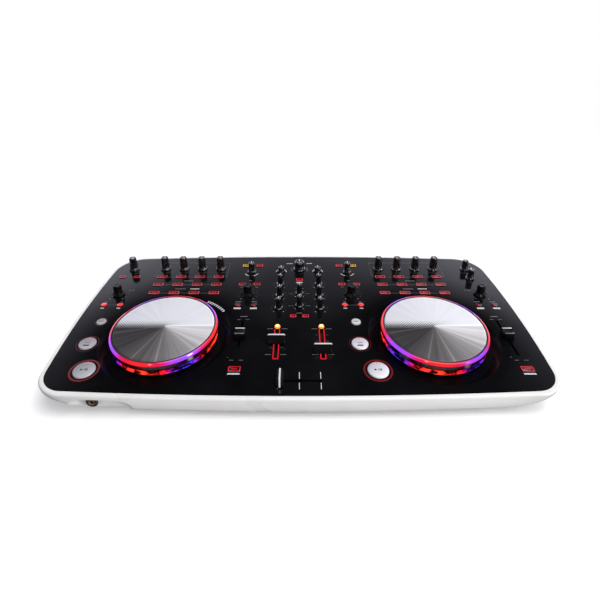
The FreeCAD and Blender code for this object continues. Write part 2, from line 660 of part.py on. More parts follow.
node(solid_feature("bottom_case", bottom_case()), "bottom_case")
blank = solid_feature("panel_blank", top_panel_blank())
node(cut("top_panel", blank, combine("Part::Compound", "panel_openings", CUTTERS)), "top_panel")
node(solid_feature("main_board", main_board_shape()), "main_board")
pots = combine("Part::Compound", "pot_blanks", POTS)
node(cut("rotary_pots", pots, combine("Part::Compound", "pot_bores", POT_BORES)), "rotary_pots")
node(combine("Part::Compound", "slide_pots", SLIDE_POTS), "slide_pots")
node(combine("Part::Compound", "key_switches", SWITCHES), "key_switches")
node(solid_feature("case_screws", screws()), "case_screws")
node(solid_feature("phones_jack", phones_jack_shape()), "phones_jack")
node(solid_feature("rear_sockets", rear_sockets_shape()), "rear_sockets")
node(solid_feature("jog_spindles", jog_spindles_shape()), "jog_spindles")
node(solid_feature("jog_bearings", jog_bearings_shape()), "jog_bearings")
doc.recompute()

# ---- standing the controller on its feet ----------------------------------------------------------

TILT = Rotation(Vector(1, 0, 0), size("tilt_angle"))


def lowest_keel():
    """Height of the keel's front edge under the panel's front edge, once tilted."""
    return TILT.multVec(Vector(0, size("keel_front_inset") - RIM, KEEL)).z


def stand():
    """Placement that tilts the controller and lifts it onto its feet, centred front to back."""
    tilted = Placement(Vector(0, 0, size("floor_gap") - lowest_keel()), TILT)
    lows, highs = [], []
    for item, own in NODES:
        shape = item.Shape.copy()
        shape.Placement = tilted.multiply(own)
        bounds = shape.optimalBoundingBox(False, False)
        lows.append(bounds.YMin)
        highs.append(bounds.YMax)
    return Placement(tilted.Base - Vector(0, (min(lows) + max(highs)) / 2, 0), TILT)


STAND = stand()


def under_case(shape):
    """The part of an upright shape that lies below the tilted keel."""
    above = Part.makeBox(4 * size("case_width"), 4 * size("case_depth"), size("case_width"),
                         Vector(-2 * size("case_width"), -size("case_depth"), KEEL))
    above.Placement = STAND.multiply(above.Placement)
    return shape.cut(above)


def rear_legs_shape():
    """Two upright rounded legs under the rear, which leave a bay between them for a laptop."""
    spot = STAND.multVec(Vector(0, PANEL_REAR - size("leg_from_rear"), KEEL))
    legs = []
    for way in (-1, 1):
        corner = Vector(way * size("leg_place") - size("leg_width") / 2, spot.y - size("leg_depth"),
                        size("foot_height"))
        block = Part.makeBox(size("leg_width"), size("leg_depth"), size("case_width") / 2, corner)
        sides = [edge for edge in block.Edges if edge.BoundBox.ZLength > 1]
        legs.append(under_case(block.makeFillet(size("leg_round"), sides)))
    return Part.makeCompound(legs)


def rubber_feet_shape():
    """Round pads: tall ones under the front of the case and flat ones under the legs."""
    front = STAND.multVec(Vector(0, size("front_foot_row"), KEEL)).y
    rear = STAND.multVec(Vector(0, PANEL_REAR - size("leg_from_rear"), KEEL)).y
    pads = []
    for way in (-1, 1):
        tall = upright(size("foot_radius"), size("case_height"), way * size("front_foot_place"), front, 0)
        pads.append(under_case(tall))
        for y in (rear - size("foot_inset"), rear - size("leg_depth") + size("foot_inset")):
            pads.append(upright(size("foot_radius"), size("foot_height"), way * size("leg_place"), y, 0))
    return Part.makeCompound(pads)


for item, own in NODES:
    item.Placement = STAND.multiply(own)
for label, shape in (("rear_legs", rear_legs_shape()), ("rubber_feet", rubber_feet_shape())):
    feature = solid_feature(label, shape)
    feature.Label = label
    NODES.append((feature, Placement()))
doc.recompute()

# ---- checks and files -----------------------------------------------------------------------------

for item in doc.Objects:
    if "Invalid" in item.State or "Error" in item.State:
        raise RuntimeError(f"{item.Label} failed: {item.State}")
for item, own in NODES:
    if item.Shape.isNull() or not item.Shape.isValid() or not item.Shape.Solids:
        raise RuntimeError(f"{item.Label} has no valid shape")

os.makedirs("parts", exist_ok=True)
for item, own in NODES:
    item.Shape.exportStep(f"parts/{item.Label}.step")
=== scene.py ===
import json
import math

import bmesh
import bpy
from mathutils import Matrix, Vector

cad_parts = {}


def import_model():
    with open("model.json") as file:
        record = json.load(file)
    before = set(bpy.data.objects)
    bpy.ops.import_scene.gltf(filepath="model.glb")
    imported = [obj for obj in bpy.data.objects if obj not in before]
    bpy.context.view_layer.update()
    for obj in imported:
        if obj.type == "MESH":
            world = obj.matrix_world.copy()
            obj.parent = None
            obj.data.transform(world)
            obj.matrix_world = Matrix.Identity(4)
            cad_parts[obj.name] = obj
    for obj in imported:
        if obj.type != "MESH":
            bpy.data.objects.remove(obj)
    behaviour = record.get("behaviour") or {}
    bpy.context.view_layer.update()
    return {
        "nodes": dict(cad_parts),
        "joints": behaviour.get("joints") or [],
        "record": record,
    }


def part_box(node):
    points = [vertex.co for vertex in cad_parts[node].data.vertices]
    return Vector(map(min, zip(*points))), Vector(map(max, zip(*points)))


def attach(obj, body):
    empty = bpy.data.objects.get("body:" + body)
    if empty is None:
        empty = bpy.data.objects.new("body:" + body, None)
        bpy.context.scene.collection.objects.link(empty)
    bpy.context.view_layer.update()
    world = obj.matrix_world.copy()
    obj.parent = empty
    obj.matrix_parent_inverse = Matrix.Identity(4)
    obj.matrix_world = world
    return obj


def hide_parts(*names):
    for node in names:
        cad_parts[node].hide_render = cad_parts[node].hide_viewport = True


# Looks of a two-deck DJ controller. Shapes are drawn in millimetres on the tilted panel: X to the right,
# Y from the panel's front edge to its rear, Z up from the panel's face. PANEL turns them into the frame.

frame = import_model()
JOINTS = {joint["name"]: joint for joint in frame["joints"]}

MM = 0.001
DECK = 175.0
JOG_ROW = 98.5
SIDE_COLUMN = 97.2
MIXER_COLUMN = 29.7
CROSS_ROW = 22.2
SYNC_ROW = 127.6
CUE_ROW = 84.2
PLAY_ROW = 38.3
PLAY_SHIFT = 16.0
ENCODER_ROW = 192.0
INNER_KNOB_ROW = 254.5
CENTRE_KNOB_ROWS = (194, 164)
# print lies from UNDER to INK about the face, and keys and stems reach down to ROOT
INK = 0.06
UNDER = -0.02
ROOT = -6.0


def panel_matrix():
    """Placement of the panel's drawing in the frame, found from the left jog wheel's axle."""
    jog = JOINTS["left_jog_turn"]
    normal = Vector(jog["axis"])
    across = Vector((1, 0, 0))
    back = normal.cross(across)
    origin = Vector(jog["pos_m"]) + across * DECK * MM - back * JOG_ROW * MM
    turn = Matrix((across, back, normal)).transposed().to_4x4()
    return Matrix.Translation(origin) @ turn @ Matrix.Scale(MM, 4)


PANEL = panel_matrix()
ON_PANEL = PANEL.inverted()


# ---- materials ------------------------------------------------------------------------------------

def ramp_node(nodes, links, factor, stops):
    """Colour ramp over (place, colour) stops."""
    node = nodes.new("ShaderNodeValToRGB")
    elements = node.color_ramp.elements
    while len(elements) < len(stops):
        elements.new(0.5)
    for element, (place, color) in zip(elements, stops):
        element.position = place
        element.color = (*color, 1)
    links.new(factor, node.inputs[0])
    return node.outputs[0]


def product_node(nodes, links, first, second):
    """Product of two colours."""
    node = nodes.new("ShaderNodeMix")
    node.data_type = "RGBA"
    node.blend_type = "MULTIPLY"
    node.inputs[0].default_value = 1
    links.new(first, node.inputs[6])
    links.new(second, node.inputs[7])
    return node.outputs[2]


class Surface:
    """A node material with short calls for the nodes used here."""

    def __init__(self, name, rough=0.5, metal=0.0, coat=0.0, ior=1.46, color=(0.5, 0.5, 0.5)):
        self.material = bpy.data.materials.new(name)
        self.material.use_nodes = True
        self.nodes = self.material.node_tree.nodes
        self.links = self.material.node_tree.links
        self.shader = self.nodes["Principled BSDF"]
        self.set("Base Color", (*color, 1))
        self.set("Roughness", rough)
        self.set("Metallic", metal)
        self.set("Coat Weight", coat)
        self.set("Coat Roughness", 0.06)
        self.set("IOR", ior)
        self.where = self.nodes.new("ShaderNodeTexCoord").outputs["Object"]

    def set(self, socket, value):
        self.shader.inputs[socket].default_value = value

    def feed(self, socket, output):
        self.links.new(output, self.shader.inputs[socket])

    def math(self, operation, first, second=0.0, third=0.0):
        node = self.nodes.new("ShaderNodeMath")
        node.operation = operation
        for slot, value in zip(node.inputs, (first, second, third)):
            if isinstance(value, (int, float)):
                slot.default_value = value
            else:
                self.links.new(value, slot)
        return node.outputs[0]

    def noise(self, scale, detail=3.0, stretch=(1, 1, 1)):
        shift = self.nodes.new("ShaderNodeMapping")
        shift.inputs["Scale"].default_value = stretch
        self.links.new(self.where, shift.inputs["Vector"])
        node = self.nodes.new("ShaderNodeTexNoise")
        node.inputs["Scale"].default_value = scale
        node.inputs["Detail"].default_value = detail
        self.links.new(shift.outputs[0], node.inputs["Vector"])
        return node.outputs["Fac"]

    def ramp(self, factor, stops):
        return ramp_node(self.nodes, self.links, factor, stops)

    def blend(self, factor, first, second):
        node = self.nodes.new("ShaderNodeMix")
        node.data_type = "RGBA"
        self.links.new(factor, node.inputs[0])
        self.links.new(first, node.inputs[6])
        self.links.new(second, node.inputs[7])
        return node.outputs[2]

    def product(self, first, second):
        return product_node(self.nodes, self.links, first, second)

    def hypotenuse(self, first, second):
        squares = [self.math("MULTIPLY", side, side) for side in (first, second)]
        return self.math("SQRT", self.math("ADD", *squares))

    def bump(self, height, strength, distance):
        node = self.nodes.new("ShaderNodeBump")
        node.inputs["Strength"].default_value = strength
        node.inputs["Distance"].default_value = distance
        self.links.new(height, node.inputs["Height"])
        self.feed("Normal", node.outputs[0])

    def split(self):
        node = self.nodes.new("ShaderNodeSeparateXYZ")
        self.links.new(self.where, node.inputs[0])
        return node.outputs

    def soft_variation(self, low, high, rough_low, rough_high, scale):
        """Colour and roughness that drift a little over the surface."""
        drift = self.noise(scale)
        self.feed("Base Color", self.ramp(drift, [(0.3, low), (0.7, high)]))
        self.feed("Roughness", self.ramp(drift, [(0.3, (rough_low,) * 3), (0.7, (rough_high,) * 3)]))


def hull_white():
    s = Surface("hull_white", coat=0.5)
    s.soft_variation((0.70, 0.685, 0.67), (0.74, 0.73, 0.715), 0.26, 0.34, 14)
    s.bump(s.noise(900, 2), 0.04, 0.0002)
    return s.material


def panel_black():
    s = Surface("panel_black", coat=0.0, ior=1.42)
    s.soft_variation((0.0022, 0.0022, 0.0028), (0.004, 0.004, 0.005), 0.08, 0.13, 22)
    s.bump(s.noise(1400, 2), 0.03, 0.0001)
    # the face round each wheel is dull, so that it doesn't mirror the wheel's light
    x, y, _ = s.split()
    centre = JOINTS["left_jog_turn"]["pos_m"]
    aside = s.math("SUBTRACT", s.math("ABSOLUTE", x), -centre[0])
    ahead = s.math("SUBTRACT", y, centre[1])
    reach = s.math("MULTIPLY", s.hypotenuse(aside, ahead), 5)
    s.feed("Specular IOR Level", s.ramp(reach, [(0.46, (0.03,) * 3), (0.74, (0.5,) * 3)]))
    return s.material


def soft_black(name, low, high, rough, grain, strength, ior=1.46, coat=0.0):
    s = Surface(name, ior=ior, coat=coat)
    s.soft_variation((low,) * 3, (high,) * 3, rough - 0.06, rough + 0.06, 120)
    s.bump(s.noise(grain, 3), strength, 0.0002)
    return s.material


def plain(name, low, high, rough_low, rough_high, scale, metal=0.0):
    """Ink, bare metal or board: only a little uneven."""
    s = Surface(name, metal=metal)
    s.soft_variation(low, high, rough_low, rough_high, scale)
    return s.material


def lit(name, dim, bright, strength, scale=260, body=(0.1, 0.0, 0.0)):
    """Translucent plastic lit from inside, a little uneven; the white print on knobs and caps uses it too,
    where the glow is painted light.
    """
    s = Surface(name, rough=0.25, coat=0.5, color=body)
    drift = s.noise(scale, 2)
    s.feed("Emission Color", s.ramp(drift, [(0.32, dim), (0.68, bright)]))
    s.set("Emission Strength", strength)
    s.feed("Base Color", s.ramp(drift, [(0.3, body), (0.7, tuple(0.5 * part for part in bright))]))
    return s.material


def button_silver_painted_light(name, painted_light_gain):
    """Satin grey with painted shade at the rear left of each button and a painted highlight at its front
    right; the gain makes a shaded copy and a lit copy as painted light.
    """
    s = Surface(name, coat=0.4)
    x, y, _ = s.split()
    # painted light: colour runs from a painted highlight at the front right to painted shade at the rear
    # left
    painted_light_fall = s.math("MULTIPLY_ADD", s.math("SUBTRACT", x, y), 0.022, 0.45)
    s.feed("Base Color", s.ramp(painted_light_fall, [(place, (grey * painted_light_gain, grey * painted_light_gain, (grey + 0.03) * painted_light_gain))
                                       for place, grey in ((0.0, 0.24), (0.5, 0.42), (1.0, 0.62))]))
    s.feed("Roughness", s.ramp(s.noise(90), [(0.3, (0.28,) * 3), (0.7, (0.38,) * 3)]))
    s.bump(s.noise(700, 2), 0.05, 0.0001)
    return s.material


def polar(s):
    """Angle about the piece's own Z axis in turns, and radius in millimetres."""
    x, y, _ = s.split()
    return s.math("DIVIDE", s.math("ARCTAN2", y, x), 2 * math.pi), s.hypotenuse(x, y)


def ring_glow(name, dark_share, strength):
    """Red light with four violet zones round the wheel; dark_share adds unlit patches and a dark top, and
    the bright band below is partly the skirt's own light and partly a painted reflection of it in the
    panel.
    """
    s = Surface(name, rough=0.14, coat=0.1, color=(0.01, 0.0, 0.0))
    angle, _ = polar(s)
    wave = s.math("COSINE", s.math("MULTIPLY", s.math("SUBTRACT", angle, 35 / 360), 8 * math.pi))
    zone = s.math("MULTIPLY_ADD", wave, 0.5, 0.5)
    if dark_share:
        colour = s.ramp(zone, [(0.0, (1.0, 0.04, 0.02)), (0.55, (0.75, 0.006, 0.02)),
                               (0.80, (0.22, 0.01, 0.42)), (1.0, (0.05, 0.04, 1.0))])
        patch = s.ramp(s.noise(0.13, 2, (1, 1, 1.4)),
                       [(dark_share, (0.02,) * 3), (dark_share + 0.08, (0.8,) * 3),
                        (dark_share + 0.2, (1.9,) * 3)])
        # the skirt's lit lower band is partly its own light and partly a painted reflection where it meets
        # the panel
        height = s.split()[2]
        low = s.ramp(s.math("MULTIPLY_ADD", height, 0.05, 0.3),
                     [(0.20, (1,) * 3), (0.46, (1,) * 3), (0.62, (0.02,) * 3)])
        colour = s.product(s.product(colour, patch), low)
    else:
        colour = s.ramp(zone, [(0.0, (0.85, 0.022, 0.030)), (0.30, (0.75, 0.010, 0.05)),
                               (0.56, (0.66, 0.014, 0.20)), (0.76, (0.55, 0.04, 0.66)),
                               (1.0, (0.34, 0.07, 0.98))])
    s.feed("Emission Color", colour)
    s.set("Emission Strength", strength)
    return s.material


def disc_metal():
    """Printed aluminium: pale rear half, dark front half with radial streaks, dots where they meet; painted
    light from the right lightens both halves towards the right.
    """
    s = Surface("disc_metal", rough=0.3, metal=0.25, ior=1.25)
    angle, radius = polar(s)
    x, y, _ = s.split()
    streaks = s.nodes.new("ShaderNodeTexNoise")
    streaks.noise_dimensions = "1D"
    streaks.inputs["Scale"].default_value = 40
    streaks.inputs["Detail"].default_value = 5
    s.links.new(angle, streaks.inputs["W"])
    streak = streaks.outputs["Fac"]
    # the front half runs from painted shade on the left to a painted highlight on the right, with brighter
    # rays
    around = s.math("MULTIPLY_ADD", s.math("ABSOLUTE", angle), -2.0, 1.0)
    painted_light_sweep = s.ramp(around, [(0.0, (0.020, 0.017, 0.017)), (0.25, (0.040, 0.036, 0.036)),
                            (0.48, (0.105, 0.097, 0.097)), (0.72, (0.27, 0.26, 0.26)),
                            (0.9, (0.60, 0.58, 0.59)), (1.0, (0.80, 0.78, 0.80))])
    ray = s.ramp(streak, [(0.30, (0.70,) * 3), (0.52, (1.0,) * 3), (0.66, (1.25,) * 3), (0.74, (2.3,) * 3)])
    dark = s.product(painted_light_sweep, ray)
    # painted light: the pale half also runs from painted shade on the left to brighter on the right
    across = s.math("MULTIPLY_ADD", x, 0.007, 0.5)
    pale = s.product(s.ramp(across, [(0.0, (0.60, 0.60, 0.65)), (1.0, (0.80, 0.80, 0.835))]),
                     s.ramp(streak, [(0.30, (0.96,) * 3), (0.70, (1.03,) * 3)]))
    cell = 3.4
    waves = [s.math("COSINE", s.math("MULTIPLY", s.math(way, x, y), 2 * math.pi / cell))
             for way in ("ADD", "SUBTRACT")]
    dots = s.math("MULTIPLY", s.math("ADD", *waves), 0.5)
    # pale dots start 6 mm in front of the middle and have grown together 13 mm behind it
    height = s.math("MULTIPLY_ADD", y, 0.05, 0.32)
    share = s.math("ADD", height, s.math("MULTIPLY", dots, 0.42))
    half = s.ramp(share, [(0.44, (0, 0, 0)), (0.56, (1, 1, 1))])
    s.feed("Base Color", s.blend(half, dark, pale))
    s.feed("Roughness", s.ramp(streak, [(0.3, (0.30,) * 3), (0.7, (0.42,) * 3)]))
    s.bump(s.math("SINE", s.math("MULTIPLY", radius, 9.0)), 0.06, 0.0001)
    return s.material


MATERIALS = {
    "hull": hull_white(),
    "panel": panel_black(),
    "knob": soft_black("knob_black", 0.0018, 0.0035, 0.24, 900, 0.03, 1.45, coat=0.9),
    "rubber": soft_black("knob_rubber", 0.001, 0.002, 0.34, 700, 0.08, 1.28),
    "cap": soft_black("cap_black", 0.001, 0.002, 0.34, 1100, 0.05, 1.22),
    "foot": soft_black("foot_rubber", 0.012, 0.02, 0.8, 500, 0.3),
    "socket": soft_black("socket_black", 0.003, 0.006, 0.4, 700, 0.1),
    "grey": soft_black("component_grey", 0.10, 0.14, 0.5, 700, 0.1),
    "white": plain("printed_white", (0.42, 0.42, 0.43), (0.6, 0.6, 0.6), 0.45, 0.6, 600),
    "faint": plain("printed_grey", (0.10, 0.10, 0.105), (0.16, 0.16, 0.165), 0.45, 0.6, 600),
    # the white pointer print has a painted glow, though it holds no lamp
    "pointer": lit("pointer_white_painted_glow", (0.50, 0.50, 0.52), (0.62, 0.62, 0.64), 0.35, body=(0.55, 0.55, 0.55)),
    "red": lit("lit_red", (0.42, 0.002, 0.010), (0.70, 0.006, 0.022), 0.95),
    "bright_red": lit("bright_red", (0.75, 0.010, 0.014), (1.0, 0.05, 0.04), 1.0),
    "deep_red": lit("deep_red", (0.025, 0.0, 0.001), (0.07, 0.001, 0.003), 1.0),
    "ember": lit("ember_red", (0.07, 0.001, 0.003), (0.17, 0.002, 0.006), 1.0),
    "yellow": lit("lit_yellow", (0.70, 0.38, 0.005), (1.0, 0.60, 0.02), 0.8, body=(0.2, 0.1, 0.0)),
    "lamp": lit("lit_amber", (1.0, 0.24, 0.008), (1.0, 0.36, 0.02), 0.95, 420, (0.4, 0.1, 0.0)),
    "lamp_core": lit("lit_core", (1.0, 0.55, 0.12), (1.0, 0.80, 0.38), 1.3, 420, (0.5, 0.3, 0.1)),
    "dark_key": soft_black("dark_key", 0.003, 0.006, 0.25, 900, 0.05, 1.4),
    # painted light from the right: the left deck's buttons are a shaded copy and the right deck's a lit
    # copy of one silver
    "button": button_silver_painted_light("button_silver_painted_light", 0.78),
    "pale_button": button_silver_painted_light("button_painted_lit", 1.45),
    "ring": ring_glow("ring_glow", 0.0, 1.15),
    "skirt": ring_glow("skirt_glow_and_painted_reflection", 0.44, 1.1),
    "disc": disc_metal(),
    "steel": plain("brushed_steel", (0.42, 0.42, 0.44), (0.62, 0.62, 0.64), 0.25, 0.4, 300, metal=1.0),
    "gold": plain("contact_gold", (0.70, 0.42, 0.16), (0.85, 0.58, 0.26), 0.2, 0.35, 300, metal=1.0),
    "board": plain("circuit_green", (0.01, 0.10, 0.04), (0.02, 0.16, 0.07), 0.35, 0.5, 200),
}


# ---- mesh tools -----------------------------------------------------------------------------------

class Piece:
    """Collects faces of several materials in one mesh, in millimetres about its own origin."""

    def __init__(self, name):
        self.name = name
        self.mesh = bmesh.new()
        self.slots = []

    def slot(self, material):
        if material not in self.slots:
            self.slots.append(material)
        return self.slots.index(material)

    def face(self, verts, material):
        face = self.mesh.faces.new(verts)
        face.material_index = self.slot(material)
        face.smooth = True
        return face

    def ring(self, points):
        return [self.mesh.verts.new(point) for point in points]

    def loft(self, rings, materials):
        """Skins rings of equally many points, ends too; materials is one name, or one for each band."""
        rows = [self.ring(points) for points in rings]
        count = len(rows[0])
        if isinstance(materials, str):
            materials = [materials] * (len(rows) - 1)
        for lower, upper, material in zip(rows, rows[1:], materials):
            for index in range(count):
                after = (index + 1) % count
                self.face([lower[index], lower[after], upper[after], upper[index]], material)
        self.face(rows[0][::-1], materials[0])
        self.face(rows[-1], materials[-1])

    def turned(self, profile, materials, steps=64, shape=None, centre=(0, 0)):
        """Body of revolution from (radius, height) pairs, lowest first; shape scales the radius."""
        rings = []
        for radius, height in profile:
            ring = []
            for index in range(steps):
                angle = 2 * math.pi * index / steps
                reach = radius * (shape(angle, height) if shape else 1)
                x, y = reach * math.cos(angle), reach * math.sin(angle)
                ring.append((centre[0] + x, centre[1] + y, height))
            rings.append(ring)
        self.loft(rings, materials)

    def plate(self, size, centre, levels, corner, materials):
        """Round-cornered block; levels are (height, inset) pairs from the bottom up."""
        self.loft([[(centre[0] + x, centre[1] + y, height) for x, y in rounded(size, corner, inset)]
                   for height, inset in levels], materials)

    def hollow_turned(self, profile, material, steps=64, centre=(0, 0)):
        """Ring of revolution from a closed profile of (radius, height) pairs."""
        circles = [circle(radius, height, steps, centre) for radius, height in profile]
        rows = [self.ring(points) for points in zip(*circles)]
        count = len(profile)
        for index in range(steps):
            here, there = rows[index], rows[(index + 1) % steps]
            for side in range(count):
                after = (side + 1) % count
                self.face([here[side], there[side], there[after], here[after]], material)

    def build(self, body, node=None, place=(0, 0, 0), smooth=40, turn=Matrix()):
        bmesh.ops.recalc_face_normals(self.mesh, faces=self.mesh.faces)
        data = bpy.data.meshes.new(self.name)
        self.mesh.to_mesh(data)
        self.mesh.free()
        for material in self.slots:
            data.materials.append(MATERIALS[material])
        data.set_sharp_from_angle(angle=math.radians(smooth))
        thing = bpy.data.objects.new(self.name, data)
        bpy.context.scene.collection.objects.link(thing)
        thing.matrix_world = PANEL @ Matrix.Translation(place) @ turn
        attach(thing, body)
        if node:
            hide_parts(node)
        return thing


def circle(radius, height, steps, centre=(0, 0), shift=0.0):
    """Points of a level circle, turned by shift of a step."""
    turns = [2 * math.pi * (index + shift) / steps for index in range(steps)]
    return [(centre[0] + radius * math.cos(turn), centre[1] + radius * math.sin(turn), height)
            for turn in turns]


def rounded(size, corner, inset, steps=5):
    """Outline of a round-cornered rectangle."""
    half_x, half_y = size[0] / 2 - inset, size[1] / 2 - inset
    radius = max(corner - inset, 0.05)
    points = []
    for quarter, (way_x, way_y) in enumerate(((1, 1), (-1, 1), (-1, -1), (1, -1))):
        for step in range(steps + 1):
            angle = (quarter + step / steps) * math.pi / 2
            points.append((way_x * (half_x - radius) + radius * math.cos(angle),
                           way_y * (half_y - radius) + radius * math.sin(angle)))
    return points


def arc_points(centre, radius, start, end, steps):
    """Points of an arc; angles are in degrees, anticlockwise from +X."""
    turns = [math.radians(start + (end - start) * step / steps) for step in range(steps + 1)]
    return [(centre[0] + radius * math.cos(turn), centre[1] + radius * math.sin(turn)) for turn in turns]


def ink_line(piece, points, width, material, low=UNDER, high=INK):
    """Flat printed or lit line of one width along points in the panel's plane."""
    rings = []
    for index, (x, y) in enumerate(points):
        before = points[max(index - 1, 0)]
        after = points[min(index + 1, len(points) - 1)]
        way = Vector((after[0] - before[0], after[1] - before[1])).normalized()
        aside = Vector((-way.y, way.x)) * width / 2
        rings.append([(x + aside.x, y + aside.y, low), (x + aside.x, y + aside.y, high),
                      (x - aside.x, y - aside.y, high), (x - aside.x, y - aside.y, low)])
    piece.loft(rings, material)


def ridge_line(piece, path, width, proud, material, sunk=0.3):
    """Line of one width laid over a path of (x, y, z) points, its sides along X or Y."""
    rings = []
    for index, point in enumerate(path):
        before = Vector(path[max(index - 1, 0)])
        after = Vector(path[min(index + 1, len(path) - 1)])
        way = (after - before).normalized()
        aside = Vector((1, 0, 0)) if abs(way.x) < 0.5 else Vector((0, 1, 0))
        normal = aside.cross(way).normalized()
        normal = normal if normal.z > -0.2 else -normal
        left, right = Vector(point) - aside * width / 2, Vector(point) + aside * width / 2
        rings.append([right - normal * sunk, right + normal * proud,
                      left + normal * proud, left - normal * sunk])
    piece.loft(rings, material)


def on_panel(joint):
    """A hinge's place on the panel's drawing, in millimetres."""
    place = ON_PANEL @ Vector(JOINTS[joint]["pos_m"])
    return place.x, place.y


def drawn_islands(node):
    """Separate solids of a CAD node as (centre x, centre y, length, width) on the panel's drawing."""
    mesh = frame["nodes"][node].data
    spots = {}
    owner = []
    parent = []

    def root(index):
        while parent[index] != index:
            parent[index] = parent[parent[index]]
            index = parent[index]
        return index

    for vertex in mesh.vertices:
        key = tuple(round(value, 6) for value in vertex.co)
        if key not in spots:
            spots[key] = len(parent)
            parent.append(len(parent))
        owner.append(spots[key])
    for polygon in mesh.polygons:
        first = root(owner[polygon.vertices[0]])
        for index in polygon.vertices[1:]:
            parent[root(owner[index])] = first
    groups = {}
    for key, index in spots.items():
        groups.setdefault(root(index), []).append(ON_PANEL @ Vector(key))
    found = []
    for points in groups.values():
        xs, ys = [point.x for point in points], [point.y for point in points]
        found.append(((min(xs) + max(xs)) / 2, (min(ys) + max(ys)) / 2,
                      max(xs) - min(xs), max(ys) - min(ys)))
    return sorted(found, key=lambda key: (round(key[1]), key[0]))


# ---- knobs ----------------------------------------------------------------------------------------

# top radius, waist radius, collar radius, height, collar height, ribs, lobes, pointer
FAMILIES = {
    "effect": (5.6, 6.2, 8.3, 23.0, 7.0, 14, 10, True),
    "side": (4.6, 5.0, 7.2, 18.0, 6.0, 14, 10, True),
    "slim": (3.6, 4.2, 5.8, 18.0, 3.5, 12, 0, True),
    "trim": (4.6, 5.0, 6.4, 9.0, 2.2, 14, 0, True),
    "browse": (7.8, 8.2, 9.4, 15.0, 3.0, 26, 0, True),
    "dial": (5.8, 6.2, 9.8, 17.0, 8.0, 18, 6, False),
}


def knob_family(node):
    """Family of a knob, from its node's name."""
    if node.endswith("encoder"):
        return "dial"
    for family in ("effect", "trim", "browse"):
        if family in node:
            return family
    if node == "left_side_knob":
        return "effect"
    return "side" if "side" in node or "inner" in node else "slim"


def knob(node):
    """Knob with a flared collar, a ribbed grip and a dished top, and a pointer over its rear edge."""
    top, waist, collar, height, collar_height, ribs, lobes, pointer = FAMILIES[knob_family(node)]
    material = "rubber" if knob_family(node) == "dial" else "knob"
    stem, foot, rim, steps = 3.0, 0.7, 1.8, 7
    profile = [(stem, ROOT), (stem, foot), (collar - 0.5, foot), (collar, foot + 0.35), (collar, rim)]
    for step in range(1, steps + 1):
        share = step / steps
        profile.append((waist + (collar - waist) * (1 - share) ** 2.1, rim + (collar_height - rim) * share))
    grip_low, grip_high = collar_height + 0.8, height - 1.6
    for share in (0.03, 0.06, 0.5, 0.94, 0.97, 1.0):
        profile.append((waist + (top - waist) * share, grip_low + (grip_high - grip_low) * share))
    for share, drop in ((0.985, 1.0), (0.93, 0.45), (0.82, 0.12), (0.6, 0.0), (0.56, 0.12), (0.3, 0.2),
                        (0.06, 0.22)):
        profile.append((top * share, height - drop))

    def shape(angle, level):
        reach = 1.0
        if lobes and foot + 0.2 < level < collar_height:
            fade = 1 - (level - foot) / (collar_height - foot)
            reach -= (0.26 if lobes < 8 else 0.13) * fade * (0.5 - 0.5 * math.cos(lobes * angle))
        if grip_low + 0.3 < level < grip_high - 0.05:
            reach -= 0.05 * max(0.0, math.cos(ribs * angle)) ** 2
        return reach

    piece = Piece(node + "_look")
    piece.turned(profile, material, 112 if lobes else 96, shape)
    if pointer:
        rear = top + 0.02
        path = [(top * 0.12, height - 0.1), (top * 0.6, height + 0.02), (top * 0.84, height - 0.05),
                (top * 0.95, height - 0.5), (rear, height - 1.4), (rear + 0.1, height * 0.55)]
        ridge_line(piece, [(0, y, z) for y, z in path], 1.4, 0.12, "pointer")
    x, y = on_panel(node + "_turn")
    piece.build(node, node, (x, y, 0))


# ---- keys and buttons -----------------------------------------------------------------------------

KEY_RISE = 1.2
REAR_KEYS = 270


def lit_key(piece, x, y, length, width, glow):
    """Dark key cap with a lit border and a small lit mark."""
    piece.plate((length, width), (x, y), [(ROOT, 0), (0.2, 0)], 1.2, "dark_key")
    levels = [(0.2, 0), (KEY_RISE - 0.3, 0.1), (KEY_RISE, 0.4), (KEY_RISE, 1.15), (KEY_RISE - 0.15, 1.3)]
    piece.plate((length, width), (x, y), levels, 1.2, ["dark_key", glow, glow, "dark_key"])
    marks = 3 if length > 12 else 2
    for mark in range(marks):
        place = (mark - (marks - 1) / 2) * length * 0.17
        piece.plate((length * 0.09, width * 0.26), (x + place, y),
                    [(KEY_RISE - 0.3, 0), (KEY_RISE - 0.05, 0)], 0.2, glow)


def round_key(piece, x, y, radius, bright):
    """Round key: all lit, or dark with a lit ring and an arrow."""
    profile = [(radius, ROOT), (radius, 0.6), (radius - 0.35, KEY_RISE - 0.15), (radius - 0.9, KEY_RISE)]
    if bright:
        piece.turned(profile + [(radius * 0.5, KEY_RISE + 0.12), (0.05, KEY_RISE + 0.15)],
                     ["dark_key", "red", "red", "bright_red", "bright_red"], 40, centre=(x, y))
        return
    dish = [(radius * 0.72, KEY_RISE), (radius * 0.68, KEY_RISE - 0.15), (0.05, KEY_RISE - 0.1)]
    bands = ["dark_key", "dark_key", "deep_red", "deep_red", "dark_key", "dark_key"]
    piece.turned(profile + dish, bands, 40, centre=(x, y))
    tip = [(x - 1.5, y - 0.9), (x, y + 1.3), (x + 1.5, y - 0.9)]
    piece.loft([[(*point, level) for point in tip] for level in (KEY_RISE - 0.3, KEY_RISE + 0.05)], "red")
    piece.plate((5.2, 0.8), (x, y - 2.3), [(KEY_RISE - 0.3, 0), (KEY_RISE, 0)], 0.2, "red")


def key_group(node):
    """Keys where the CAD piece has them; round ones left of their deck's wheel are all lit."""
    piece = Piece(node + "_look")
    for x, y, length, width in drawn_islands(node):
        if abs(length - width) < 0.5:
            round_key(piece, x, y, length / 2, x < math.copysign(DECK, x))
        else:
            yellow = y > REAR_KEYS and abs(x) > DECK - SIDE_COLUMN
            lit_key(piece, x, y, length, width, "yellow" if yellow else "red")
    piece.build(node, node)


